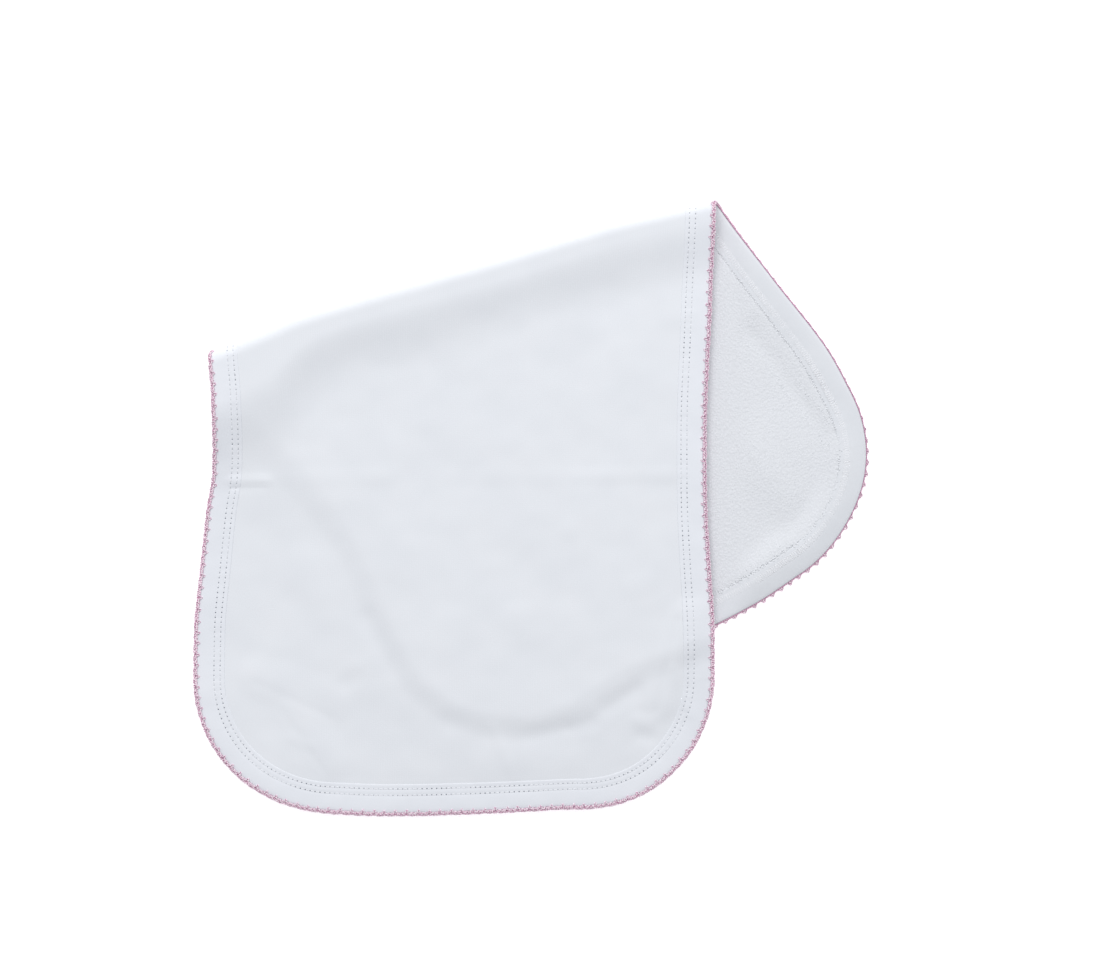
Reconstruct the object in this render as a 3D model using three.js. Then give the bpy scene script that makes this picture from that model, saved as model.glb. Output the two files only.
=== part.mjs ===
// Burp cloth, folded over once on a slant and laid down, in millimetres, +Z up.
// A flat knit front and a looped terry back are held together by a band that wraps both edges, and
// the band is edged with crocheted scallops. Each piece is laid out on the flat cloth and carried
// through one fold, so all of them turn over, step down and wrinkle together.
// The origin is the middle of the folded cloth's footprint, on the surface that it lies on.

import * as THREE from 'three';

// The flat cloth: u runs across it and v along it, both from its middle, the near end at -v.
const WIDTH = 250;
const LENGTH = 478;
const CORNER = 64;
const CORE = { u: WIDTH / 2 - CORNER, v: LENGTH / 2 - CORNER };

// The layers, as heights over the middle surface of the cloth; the knit front is the positive side.
const KNIT = { low: 0.15, high: 1.2 };
const TERRY = { low: -1.5, high: -0.15 };

// The band over the edges, and the crochet outside it.
const BAND = { width: 13.8, half: 1.2, edgeHalf: 0.9 };
const SEAM_GAP = 0.3;
// Up to this far from the fold line the band's sections lie parallel to it, and past the other
// distance they lie square to the edge.
const PARALLEL = { until: 30, square: 90 };
const CROCHET = { gap: 0.45, valley: 1.2, peak: 2.3, half: 0.9, tipHalf: 0.6, pitch: 5.4 };

// The fold: a line across the cloth, where it crosses the middle of the cloth, and where that
// crossing lies seen from above. s runs along the fold, t across it, positive on the upper flap.
const TILT = THREE.MathUtils.degToRad(16.75);
const ALONG = new THREE.Vector2(Math.cos(TILT), Math.sin(TILT));
const ACROSS = new THREE.Vector2(Math.sin(TILT), -Math.cos(TILT));
const CROSSING = new THREE.Vector2(0, 22.8);
const CROSSING_SEEN = new THREE.Vector2(-38.37, 111.89);

// The roll of the fold: its radius, and how far its crest stands out from a straight line.
const ROLL = [
  { s: -130, radius: 5.4, bulge: 0.0 },
  { s: -100, radius: 5.2, bulge: 2.2 },
  { s: -75, radius: 5.0, bulge: 4.8 },
  { s: -30, radius: 4.8, bulge: 4.7 },
  { s: 30, radius: 4.6, bulge: 3.8 },
  { s: 80, radius: 4.4, bulge: 3.9 },
  { s: 110, radius: 4.2, bulge: 2.0 },
  { s: 135, radius: 4.0, bulge: 0.0 },
];
const BULGE_REACH = 70;
// How the upper flap comes down from the roll: how far past it this starts, and over what length.
const DESCENT = [
  { s: -130, start: 18, length: 48 },
  { s: -102, start: 16, length: 40 },
  { s: -90, start: 11, length: 34 },
  { s: -78, start: 7, length: 32 },
  { s: -60, start: 5, length: 29 },
  { s: -20, start: 5, length: 32 },
  { s: 20, start: 5, length: 30 },
  { s: 60, start: 5, length: 27 },
  { s: 100, start: 4, length: 24 },
  { s: 135, start: 3, length: 24 },
];

// How far each long edge strays sideways from straight, along the fold's direction.
const SIDES = [
  { v: -240, left: -0.3, right: 1.8 },
  { v: -205, left: -0.3, right: 2.8 },
  { v: -150, left: 0.0, right: 2.9 },
  { v: -120, left: 3.2, right: 1.0 },
  { v: -95, left: 6.2, right: -0.5 },
  { v: -76, left: 9.4, right: -1.1 },
  { v: -40, left: 9.6, right: -0.9 },
  { v: -14, left: 7.8, right: 0.4 },
  { v: 10, left: 9.0, right: 1.7 },
  { v: 40, left: 15.0, right: 3.0 },
  { v: 75, left: 20.0, right: 4.2 },
  { v: 110, left: 17.5, right: 6.6 },
  { v: 150, left: 11.0, right: 9.8 },
  { v: 180, left: 9.0, right: 7.4 },
  { v: 215, left: 8.0, right: 4.5 },
  { v: 240, left: 4.0, right: 0.5 },
];
// How far each end strays along the cloth.
const ENDS = [
  { u: -125, near: 0.0, far: -12.5 },
  { u: -80, near: 0.0, far: -13.5 },
  { u: -35, near: -2.3, far: -13.5 },
  { u: 5, near: -1.4, far: -4.0 },
  { u: 35, near: 0.0, far: -0.6 },
  { u: 60, near: 1.2, far: -0.6 },
  { u: 95, near: 0.0, far: -0.8 },
  { u: 125, near: 0.0, far: 0.0 },
];
const END_REACH = { near: 45, far: 110 };
// Steps in which a pulled point is traced back to its flat one.
const TRACES = 3;

// Heights of the cloth's middle surface: the lower flap, the upper flap on it and beyond it.
const LOWER_FLAP = KNIT.high;
const UPPER_FLAP = 5.8;
const BEYOND = 1.65;
// The step down past the hidden flap's edge starts clear of its crochet. A share of it takes a width,
// with more width at the fold that fades out away from it, and the rest sinks slowly over a long reach.
const STEP = { start: 2.5, width: 14, more: 10, fade: 130, share: 0.45, slow: 60 };

// Soft ridges of the upper flap, from one point to another as seen from above.
const RIDGES = [
  { x1: -134, y1: -82, x2: -99, y2: -94, half: 13, height: 0.9 },
  { x1: -114, y1: -101, x2: -97, y2: -124, half: 12, height: 0.8 },
  { x1: -20, y1: -124, x2: 20, y2: -120, half: 14, height: 0.6 },
  { x1: 78, y1: -52, x2: 64, y2: -94, half: 12, height: 0.9 },
  { x1: -112, y1: -30, x2: -84, y2: -72, half: 15, height: 0.5 },
];
// The open end of the lower flap: its band and the terry beside it stand up off the surface a little.
const LIFT = { height: 1.7, middle: 10, half: 15, from: 95, over: 18 };
const PUFF = { x: 117, y: 24, radius: 34, height: 1.1 };

// Mesh fineness: columns across the panels, and the distances between their rows.
const COLUMNS = 16;
const ROW_STEP = 10;
const ROLL_REACH = 8.7;
const ROLL_ROWS = 9;
const TIP_ROWS = 5;
const TIP_SPACING = 0.5;
const HALVINGS = 40;
const NUDGE = 0.05;

// From 0 to 1, level at both ends.
function smooth(x) {
  const share = THREE.MathUtils.clamp(x, 0, 1);
  return share * share * (3 - 2 * share);
}

// From 0 to 1, steepest at a third of the way and easing off after it.
function comeDown(x) {
  const share = THREE.MathUtils.clamp(x, 0, 1);
  return share * share * (6 - 8 * share + 3 * share * share);
}

// 1 in the middle, down to 0 at a distance of 1 either way.
function bell(x) {
  const rest = Math.max(0, 1 - x * x);
  return rest * rest;
}

// A smooth curve through a table's rows, cubic between them, level with its neighbours at each row.
function readTable(table, key, column, at) {
  const last = table.length - 1;
  const x = THREE.MathUtils.clamp(at, table[0][key], table[last][key]);
  let i = 0;
  while (i < last - 1 && table[i + 1][key] < x) i += 1;
  const slope = (k) => {
    const before = table[Math.max(k - 1, 0)];
    const after = table[Math.min(k + 1, last)];
    return (after[column] - before[column]) / (after[key] - before[key]);
  };
  const span = table[i + 1][key] - table[i][key];
  const a = (x - table[i][key]) / span;
  const b = 1 - a;
  return (1 + 2 * a) * b * b * table[i][column] + a * b * b * span * slope(i)
    + a * a * (3 - 2 * a) * table[i + 1][column] - a * a * b * span * slope(i + 1);
}

// How far a flat point lies outside the cloth's cut edge, a rectangle with round corners.
function outside(u, v) {
  const du = u - THREE.MathUtils.clamp(u, -CORE.u, CORE.u);
  const dv = v - THREE.MathUtils.clamp(v, -CORE.v, CORE.v);
  return Math.hypot(du, dv) - CORNER;
}

// How far a flat point is pulled off the straight cloth by its uneven sides and ends.
function stray(u, v) {
  const share = THREE.MathUtils.clamp(u / WIDTH + 0.5, 0, 1);
  const left = readTable(SIDES, 'v', 'left', v);
  const right = readTable(SIDES, 'v', 'right', v);
  const side = left + (right - left) * share;
  const near = readTable(ENDS, 'u', 'near', u) * smooth(1 - (v + LENGTH / 2) / END_REACH.near);
  const far = readTable(ENDS, 'u', 'far', u) * smooth(1 - (LENGTH / 2 - v) / END_REACH.far);
  return ALONG.clone().multiplyScalar(side).add(new THREE.Vector2(0, near + far));
}

// The flat point that is pulled to a place: the place less the pull, read again at each nearer point.
function traceBack(place) {
  let { u, v } = place;
  for (let k = 0; k < TRACES; k += 1) {
    const pull = stray(u, v);
    u = place.u - pull.x;
    v = place.v - pull.y;
  }
  return { u, v };
}

// The upper flap's resting height: it lies on the lower flap, whose point is found by mirroring
// in the fold, and steps down past that flap's edge.
function restingHeight(s, reach, radius) {
  const under = traceBack(flatPoint(s, radius - reach - Math.PI / 2 * radius));
  const past = outside(under.u, under.v) - STEP.start;
  const width = STEP.width + STEP.more * (1 - smooth(reach / STEP.fade));
  const down = THREE.MathUtils.lerp(smooth(past / STEP.slow), smooth(past / width), STEP.share);
  return THREE.MathUtils.lerp(UPPER_FLAP, BEYOND, down);
}

// What the soft ridges add to the upper flap, each falling off either side of its line.
function ridgeHeight(x, y) {
  let height = 0;
  for (const ridge of RIDGES) {
    const line = new THREE.Line3(
      new THREE.Vector3(ridge.x1, ridge.y1, 0), new THREE.Vector3(ridge.x2, ridge.y2, 0));
    const nearest = line.closestPointToPoint(new THREE.Vector3(x, y, 0), true, new THREE.Vector3());
    height += ridge.height * bell(Math.hypot(x - nearest.x, y - nearest.y) / ridge.half);
  }
  return height;
}

// What the open end of the lower flap stands up by.
function liftHeight(u, v, x, y) {
  const band = LIFT.height * bell((-outside(u, v) - LIFT.middle) / LIFT.half);
  const puff = PUFF.height * bell(Math.hypot(x - PUFF.x, y - PUFF.y) / PUFF.radius);
  return (band + puff) * smooth((x - LIFT.from) / LIFT.over);
}

// The middle surface of the folded cloth: round the roll on a half circle, then out along a flap.
function middle(u, v) {
  const pulled = new THREE.Vector2(u, v).add(stray(u, v)).sub(CROSSING);
  const s = pulled.dot(ALONG);
  const t = pulled.dot(ACROSS);
  const radius = readTable(ROLL, 's', 'radius', s);
  const bulge = readTable(ROLL, 's', 'bulge', s);
  const turn = Math.min(Math.abs(t) / radius, Math.PI / 2);
  const run = Math.abs(t) - radius * turn;
  const reach = radius * (1 - Math.cos(turn)) + run;
  const out = reach - bulge * smooth(1 - reach / BULGE_REACH);
  const x = CROSSING_SEEN.x + s * ALONG.x + out * ACROSS.x;
  const y = CROSSING_SEEN.y + s * ALONG.y + out * ACROSS.y;
  if (t < 0) {
    return new THREE.Vector3(x, y, LOWER_FLAP + radius * (1 - Math.sin(turn)) + liftHeight(u, v, x, y));
  }
  const crest = LOWER_FLAP + radius * (1 + Math.sin(turn));
  const rest = restingHeight(s, reach, radius) + ridgeHeight(x, y);
  const start = readTable(DESCENT, 's', 'start', s);
  const length = readTable(DESCENT, 's', 'length', s);
  return new THREE.Vector3(x, y, THREE.MathUtils.lerp(crest, rest, comeDown((run - start) / length)));
}

// A point of a layer: off the middle surface along its normal, which is up on the upper flap.
function place(u, v, height) {
  const across = middle(u + NUDGE, v).sub(middle(u - NUDGE, v));
  const along = middle(u, v + NUDGE).sub(middle(u, v - NUDGE));
  return middle(u, v).addScaledVector(across.cross(along).normalize(), height);
}

// The flat point of the inset outline that lies furthest across the fold line, to one side.
function tip(side, inset) {
  const radius = CORNER - inset;
  const point = new THREE.Vector2(
    side * (Math.sign(ACROSS.x) * CORE.u + radius * ACROSS.x),
    side * (Math.sign(ACROSS.y) * CORE.v + radius * ACROSS.y));
  const from = point.clone().sub(CROSSING);
  return { u: point.x, v: point.y, s: from.dot(ALONG), t: from.dot(ACROSS) };
}

// Rows parallel to the fold: close together over the roll, and closing up towards each tip.
function rowPlaces(first, last) {
  const rows = [];
  for (let k = 1; k <= TIP_ROWS; k += 1) rows.push(first + TIP_SPACING * k * k);
  const spread = (from, to, count) => {
    for (let k = 1; k <= count; k += 1) rows.push(from + (to - from) * k / count);
  };
  const tipReach = TIP_SPACING * TIP_ROWS * TIP_ROWS;
  const lowerRun = -ROLL_REACH - (first + tipReach);
  spread(first + tipReach, -ROLL_REACH, Math.ceil(lowerRun / ROW_STEP));
  spread(-ROLL_REACH, ROLL_REACH, ROLL_ROWS);
  const upperRun = last - tipReach - ROLL_REACH;
  spread(ROLL_REACH, last - tipReach, Math.ceil(upperRun / ROW_STEP));
  for (let k = TIP_ROWS - 1; k >= 1; k -= 1) rows.push(last - TIP_SPACING * k * k);
  return rows;
}

// The flat point at a place along the fold and a distance across it.
function flatPoint(s, t) {
  return { u: CROSSING.x + s * ALONG.x + t * ACROSS.x, v: CROSSING.y + s * ALONG.y + t * ACROSS.y };
}

// Where a row meets the inset outline, by halving, going out from a point inside it.
function chordEnd(t, inside, direction, inset) {
  let near = inside;
  let far = inside + direction * LENGTH;
  for (let k = 0; k < HALVINGS; k += 1) {
    const half = (near + far) / 2;
    const point = flatPoint(half, t);
    if (outside(point.u, point.v) < -inset) near = half;
    else far = half;
  }
  return near;
}

// The rows of a panel that ends an inset away from the cut edge, as lists of flat points.
function panelRows(inset) {
  const first = tip(-1, inset);
  const last = tip(1, inset);
  const rows = rowPlaces(first.t, last.t).map((t) => {
    const inside = THREE.MathUtils.mapLinear(t, first.t, last.t, first.s, last.s);
    const left = chordEnd(t, inside, -1, inset);
    const right = chordEnd(t, inside, 1, inset);
    return Array.from({ length: COLUMNS + 1 }, (_, k) => flatPoint(left + (right - left) * k / COLUMNS, t));
  });
  return { first, last, rows };
}

// The panel's rim in order: up one side from the first tip, over the last tip and back.
function panelRim({ first, last, rows }) {
  const lefts = rows.map((row) => row[0]);
  const rights = rows.map((row) => row[COLUMNS]);
  return [first, ...rights, last, ...lefts.reverse()];
}

// A closed mesh from its points and its triangles.
function solid(points, faces) {
  const geometry = new THREE.BufferGeometry();
  const numbers = points.flatMap((point) => [point.x, point.y, point.z]);
  geometry.setAttribute('position', new THREE.Float32BufferAttribute(numbers, 3));
  geometry.setIndex(faces.flat());
  geometry.computeVertexNormals();
  return geometry;
}

// A layer of cloth between two heights: an upper and a lower skin over the same rows, and its rim.
function layer(panel, { low, high }) {
  const flat = [panel.first, ...panel.rows.flat(), panel.last];
  const points = [high, low].flatMap((height) => flat.map((p) => place(p.u, p.v, height)));
  const under = flat.length;
  const at = (row, column) => 1 + row * (COLUMNS + 1) + column;
  const end = flat.length - 1;
  const skin = [];
  const lastRow = panel.rows.length - 1;
  for (let column = 0; column < COLUMNS; column += 1) {
    skin.push([0, at(0, column), at(0, column + 1)]);
    skin.push([end, at(lastRow, column + 1), at(lastRow, column)]);
    for (let row = 0; row < lastRow; row += 1) {
      skin.push([at(row, column), at(row + 1, column), at(row + 1, column + 1)]);
      skin.push([at(row, column), at(row + 1, column + 1), at(row, column + 1)]);
    }
  }
  const rights = panel.rows.map((_, row) => at(row, COLUMNS));
  const lefts = panel.rows.map((_, row) => at(row, 0)).reverse();
  const rim = [0, ...rights, end, ...lefts];
  const wall = rim.flatMap((a, k) => {
    const b = rim[(k + 1) % rim.length];
    return [[a, b, b + under], [a, b + under, a + under]];
  });
  const faces = [...skin, ...skin.map(([a, b, c]) => [c + under, b + under, a + under]), ...wall];
  return solid(points, faces);
}

// A closed ring of sections, each a loop of points in the same order.
function ring(sections) {
  const count = sections[0].length;
  const faces = sections.flatMap((_, i) => {
    const next = (i + 1) % sections.length;
    return sections[0].flatMap((__, j) => {
      const over = (j + 1) % count;
      const [a, b, c, d] = [i * count + j, next * count + j, next * count + over, i * count + over];
      return [[a, b, c], [a, c, d]];
    });
  });
  return solid(sections.flat(), faces);
}

// A point of the rim carried outwards. Near the fold it is carried parallel to the fold, so that
// a section of the band turns over the roll in one place.
function carryOut(point, distance) {
  const du = point.u - THREE.MathUtils.clamp(point.u, -CORE.u, CORE.u);
  const dv = point.v - THREE.MathUtils.clamp(point.v, -CORE.v, CORE.v);
  const length = Math.hypot(du, dv);
  const t = (point.u - CROSSING.x) * ACROSS.x + (point.v - CROSSING.y) * ACROSS.y;
  const parallel = smooth((PARALLEL.square - Math.abs(t)) / (PARALLEL.square - PARALLEL.until));
  const lean = Math.sign(point.u) * Math.tan(TILT) * parallel;
  return { u: point.u + du / length * distance, v: point.v + (dv / length + lean) * distance };
}

// The band: a section at each point of the rim, a little thinner at its folded outer edge.
function bandRing(panel) {
  return ring(panelRim(panel).map((point) => {
    const inner = carryOut(point, SEAM_GAP);
    const centre = carryOut(point, SEAM_GAP + BAND.width / 2);
    const outer = carryOut(point, SEAM_GAP + BAND.width);
    return [
      place(inner.u, inner.v, -BAND.half), place(inner.u, inner.v, BAND.half),
      place(centre.u, centre.v, BAND.half), place(outer.u, outer.v, BAND.edgeHalf),
      place(outer.u, outer.v, -BAND.edgeHalf), place(centre.u, centre.v, -BAND.half),
    ];
  }));
}

// The cut edge as a closed path of straight sides and quarter circles.
function cutEdge() {
  const path = new THREE.Path();
  const quarter = Math.PI / 2;
  path.absarc(CORE.u, CORE.v, CORNER, 0, quarter);
  path.absarc(-CORE.u, CORE.v, CORNER, quarter, 2 * quarter);
  path.absarc(-CORE.u, -CORE.v, CORNER, 2 * quarter, 3 * quarter);
  path.absarc(CORE.u, -CORE.v, CORNER, 3 * quarter, 4 * quarter);
  path.closePath();
  return path;
}

// The crochet: one scallop every few stitches all round, a peak and a valley each.
function crochetRing() {
  const path = cutEdge();
  const scallops = Math.round(path.getLength() / CROCHET.pitch);
  const sections = [];
  for (let k = 0; k < 2 * scallops; k += 1) {
    const point = path.getPointAt(k / (2 * scallops));
    const du = point.x - THREE.MathUtils.clamp(point.x, -CORE.u, CORE.u);
    const dv = point.y - THREE.MathUtils.clamp(point.y, -CORE.v, CORE.v);
    const reach = k % 2 === 0 ? CROCHET.valley : CROCHET.peak;
    const at = (distance, height) => place(
      point.x + du / CORNER * distance, point.y + dv / CORNER * distance, height);
    sections.push([
      at(CROCHET.gap, CROCHET.half), at(CROCHET.gap, -CROCHET.half),
      at(reach, -CROCHET.tipHalf), at(reach, CROCHET.tipHalf),
    ]);
  }
  return ring(sections);
}

function piece(name, geometry, color, roughness) {
  const material = new THREE.MeshStandardMaterial({ color, roughness, metalness: 0 });
  const mesh = new THREE.Mesh(geometry, material);
  mesh.name = name;
  return mesh;
}

const panel = panelRows(BAND.width + SEAM_GAP);
const cloth = new THREE.Group();
cloth.add(
  piece('front_panel', layer(panel, KNIT), 0xe6e9ee, 0.9),
  piece('terry_back', layer(panel, TERRY), 0xe0e4e9, 1.0),
  piece('binding', bandRing(panel), 0xe2e5ea, 0.9),
  piece('crochet_trim', crochetRing(), 0xcfb0c3, 0.85),
);

export default cloth;
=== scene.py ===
import bpy
import numpy as np
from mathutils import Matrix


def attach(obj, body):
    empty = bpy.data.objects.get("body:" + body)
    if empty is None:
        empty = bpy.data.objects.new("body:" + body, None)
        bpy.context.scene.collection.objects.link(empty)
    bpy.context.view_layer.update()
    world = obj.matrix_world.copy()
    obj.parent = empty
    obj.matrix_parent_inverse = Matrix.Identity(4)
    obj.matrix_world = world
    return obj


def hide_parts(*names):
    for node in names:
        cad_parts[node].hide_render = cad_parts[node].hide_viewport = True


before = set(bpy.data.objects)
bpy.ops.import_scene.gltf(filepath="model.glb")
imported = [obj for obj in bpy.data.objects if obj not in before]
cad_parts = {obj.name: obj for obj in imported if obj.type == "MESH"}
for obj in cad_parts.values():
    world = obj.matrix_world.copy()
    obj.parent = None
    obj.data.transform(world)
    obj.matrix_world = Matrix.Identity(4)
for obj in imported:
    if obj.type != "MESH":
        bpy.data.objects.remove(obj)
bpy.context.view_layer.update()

# Knit front panel
# White cotton interlock, a fine matt knit with narrow upright wales, cut as a rectangle with round corners.
# The cloth was folded over on a slant and patted flat, so the fold that all the pieces follow is here too.

# One millimetre in metres
METRE = 0.001
# The flat cloth and the radius of its corners
WIDTH, LENGTH, CORNER = 250.0, 478.0, 64.0
CORE = np.array([WIDTH / 2 - CORNER, LENGTH / 2 - CORNER])

# The fold: its slant, the directions along and across it, the flat cloth's point that it runs through, and
# where that point lies seen from above
TILT = np.radians(16.75)
ALONG = np.array([np.cos(TILT), np.sin(TILT)])
ACROSS = np.array([np.sin(TILT), -np.cos(TILT)])
CROSSING = np.array([0.0, 22.8])
CROSSING_SEEN = np.array([-38.37, 111.89])

# s along the fold, the roll's radius, and how far its crest stands out from a straight line
ROLL = np.array([
    (-130, 5.4, 0.0), (-100, 5.2, 2.2), (-75, 5.0, 4.8), (-30, 4.8, 4.7),
    (30, 4.6, 3.8), (80, 4.4, 3.9), (110, 4.2, 2.0), (135, 4.0, 0.0)])
# How far from the crest that bulge lasts
BULGE_REACH = 70.0
# s, how far past the roll the upper flap starts to come down, and over what length
DESCENT = np.array([
    (-130, 18, 48), (-102, 16, 40), (-90, 11, 34), (-78, 7, 32), (-60, 5, 29), (-20, 5, 32), (20, 5, 30),
    (60, 4.5, 29), (100, 3, 34), (135, 2, 36)])

# v, and how far the left and the right edge stray along the fold's direction
SIDES = np.array([
    (-240, -0.3, 1.8), (-205, -0.3, 2.8), (-150, 0.0, 2.9), (-120, 3.2, 1.0), (-95, 6.2, -0.5),
    (-76, 9.4, -1.1), (-40, 9.6, -0.9), (-14, 7.8, 0.4), (10, 9.0, 1.7), (40, 15.0, 3.0), (75, 20.0, 4.2),
    (110, 17.5, 6.6), (150, 11.0, 9.8), (180, 9.0, 7.4), (215, 8.0, 4.5), (240, 4.0, 0.5)])
# u, and how far the near and the far end stray along the cloth
ENDS = np.array([
    (-125, 0.0, -12.5), (-80, 0.0, -13.5), (-35, -2.3, -13.5), (5, -1.4, -4.0),
    (35, 0.0, -0.6), (60, 1.2, -0.6), (95, 0.0, -0.8), (125, 0.0, 0.0)])
# How far in from the near and the far end their stray reaches
NEAR_REACH, FAR_REACH = 45.0, 110.0
TRACES = 3

# Heights of the middle surface: the lower flap, the upper flap over it, and the upper flap beyond it
LOWER_FLAP, UPPER_FLAP, BEYOND = 1.2, 5.8, 1.65
# The step down beyond the hidden flap's edge: how far past the edge it starts, its width, how much wider it
# is beside the fold and how far from the fold that lasts, the share that drops within that width, and the
# slower length that the rest takes
STEP_START, STEP_WIDTH, STEP_MORE, STEP_FADE, STEP_SHARE, STEP_SLOW = 2.5, 14.0, 10.0, 130.0, 0.45, 60.0

# Soft ridges and troughs of the upper flap as seen from above: x1, y1, x2, y2, half width, height
UPPER_CREASES = np.array([
    (-134, -82, -99, -94, 13, 0.55),
    (-114, -101, -97, -124, 12, 0.5),
    (-20, -124, 20, -120, 14, 0.4),
    (78, -52, 64, -94, 12, 0.9),
    (-112, -30, -84, -72, 15, 0.5),
    (-135, -85, -99, -102, 3.5, -0.2),
    (-122, -100, -102, -128, 3.5, -0.16),
    (-120, 16, -72, 16, 6, 0.16),
    (-40, 16, 74, 17.5, 6, 0.16),
    (22, 16.5, 68, 17.5, 5, 0.16),
    (-147, 14.5, -129, 14.5, 3.6, 0.5),
    (-147, 10.8, -131, 11.2, 1.8, -0.35),
    (-92, -86, -86, -82, 6, -0.25),
    (-19, -106, -8, -132, 4, 0.25),
    (-6, -53, -6, -52, 10, 0.3),
    (19, -10, 20, -9, 7, 0.2),
    (50, -38, 58, -35, 8, 0.22),
    (60, 5, 68, 5, 6, 0.16),
    (72, -54, 62, -98, 3.5, -0.35),
    (52, -103, 58, -104, 5, 0.45),
    (30, -97, 46, -86, 6, 0.3),
    (38, -96, 50, -89, 8, -0.5),
    (20, -107, 30, -105, 6, -0.4),
    (54, -111, 58, -112, 5, -0.45),
    (0, -110, 16, -106, 6, -0.25),
    (-80, -54, -66, -78, 9, -0.35),
    (-118, -112, -108, -116, 4, 0.2),
    (70, -78, 78, -100, 4, 0.3),
    (44, 108, 82, 118, 22, -0.8),
    (-38, -104, 18, -113, 9, -0.3),
])
# The same for the open end of the lower flap
LOWER_CREASES = np.array([
    (99, 126, 106, 96, 11, 0.9),
    (106, 88, 121, 71, 5, -0.4),
    (124, 66, 147, 36, 4.5, -0.5),
    (146, 16, 132, -12, 8, -0.4),
    (118, -18, 104, -40, 9, 0.5),
    (104, 30, 126, 6, 14, 0.5),
])
# The open end's band stands up as a ridge: its height, how far in from the cut edge and how wide to either
# side, and from which x and over what length the whole end lifts
LIFT_HEIGHT, LIFT_MIDDLE, LIFT_HALF, LIFT_FROM, LIFT_OVER = 2.6, 12.0, 14.0, 95.0, 18.0
# Towards the fold the very edge curls up instead: its height and width, and from which y and over what length
CURL_HEIGHT, CURL_HALF, CURL_FROM, CURL_OVER = 2.6, 26.0, 22.0, 40.0
# A low puff in the middle of the open end
PUFF_X, PUFF_Y, PUFF_RADIUS, PUFF_HEIGHT = 117.0, 24.0, 34.0, 1.1
# Waves over the upper flap, too low to be called creases: length, direction in degrees, phase, height
WAVES = np.array([
    (74, 20, 0.4, 0.16), (47, 105, 2.1, 0.11), (33, 62, 4.0, 0.06), (24, 150, 1.2, 0.035),
    (17, 52, 0.7, 0.04), (13, 118, 2.9, 0.022)])
WAVE_BEND = 3
# They fade in over this length past the roll
WAVES_OVER = 12.0

BAND_WIDTH, PANEL_INSET = 13.8, 3.5
# Heights of the panel's under side, of its top beside the band and in the open, and how far the top sinks
# under the band. It rises and it sinks over these lengths.
KNIT_UNDER, KNIT_AT_BAND, KNIT_OPEN, KNIT_SINK = 0.1, 0.92, 1.12, 0.2
RISE_OVER, SINK_OVER = 7.0, 1.5
# Mesh: rows along v off and over the fold, the stretch that the fold takes, and columns along u
COARSE_ROW, FINE_ROW, FOLD_ROWS, COLUMN = 1.75, 1.15, (-26.0, 74.0), 1.7
NUDGE = 0.05
PRESSED = 0.2


def smooth(x):
    """From 0 to 1, level at both ends."""
    x = np.clip(x, 0, 1)
    return x * x * (3 - 2 * x)


def come_down(x):
    """From 0 to 1, steepest at a third of the way and easing off after it."""
    x = np.clip(x, 0, 1)
    return x * x * (6 - 8 * x + 3 * x * x)


def bell(x):
    """1 at 0, down to 0 at 1 either way."""
    return np.maximum(0, 1 - x * x) ** 2


def read_table(table, column, at):
    """A cubic between a table's rows, with the slope at each row taken from its two neighbours."""
    x, y = table[:, 0], table[:, column]
    order = np.arange(len(x))
    before, after = np.maximum(order - 1, 0), np.minimum(order + 1, len(x) - 1)
    slope = (y[after] - y[before]) / (x[after] - x[before])
    at = np.clip(at, x[0], x[-1])
    i = np.clip(np.searchsorted(x, at) - 1, 0, len(x) - 2)
    span = x[i + 1] - x[i]
    a = (at - x[i]) / span
    b = 1 - a
    rise = (1 + 2 * a) * b * b * y[i] + a * a * (3 - 2 * a) * y[i + 1]
    return rise + a * b * span * (b * slope[i] - a * slope[i + 1])


def outside(p):
    """How far flat points lie outside the cut edge: the distance to a smaller rectangle, less the corner."""
    return np.linalg.norm(p - np.clip(p, -CORE, CORE), axis=-1) - CORNER


def stray(p):
    """How far flat points are pulled off the straight cloth by its uneven sides and ends."""
    u, v = p[..., 0], p[..., 1]
    share = np.clip(u / WIDTH + 0.5, 0, 1)
    side = read_table(SIDES, 1, v) * (1 - share) + read_table(SIDES, 2, v) * share
    near = read_table(ENDS, 1, u) * smooth(1 - (v + LENGTH / 2) / NEAR_REACH)
    far = read_table(ENDS, 2, u) * smooth(1 - (LENGTH / 2 - v) / FAR_REACH)
    return side[..., None] * ALONG + (near + far)[..., None] * np.array([0, 1])


def trace_back(place):
    """Which flat points are pulled to given places: the place less the pull, read again a few times."""
    flat = place
    for _ in range(TRACES):
        flat = place - stray(flat)
    return flat


def creased(table, xy):
    """The sum of a table's ridges: each is its height times a bell of the distance to its line."""
    height = np.zeros(xy.shape[:-1])
    for x1, y1, x2, y2, half, rise in table:
        start, run = np.array([x1, y1]), np.array([x2 - x1, y2 - y1])
        share = np.clip((xy - start) @ run / (run @ run), 0, 1)
        height += rise * bell(np.linalg.norm(xy - start - share[..., None] * run, axis=-1) / half)
    return height


def waved(xy):
    """Low waves: a sine across each direction, bent a little by the place along it."""
    height = np.zeros(xy.shape[:-1])
    for length, degrees, phase, rise in WAVES:
        turn = np.radians(degrees)
        across = xy[..., 0] * np.cos(turn) + xy[..., 1] * np.sin(turn)
        along = xy[..., 1] * np.cos(turn) - xy[..., 0] * np.sin(turn)
        bent = np.sin(along / length * WAVE_BEND + phase)
        height += rise * np.sin(2 * np.pi * across / length + phase + bent)
    return height


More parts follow.
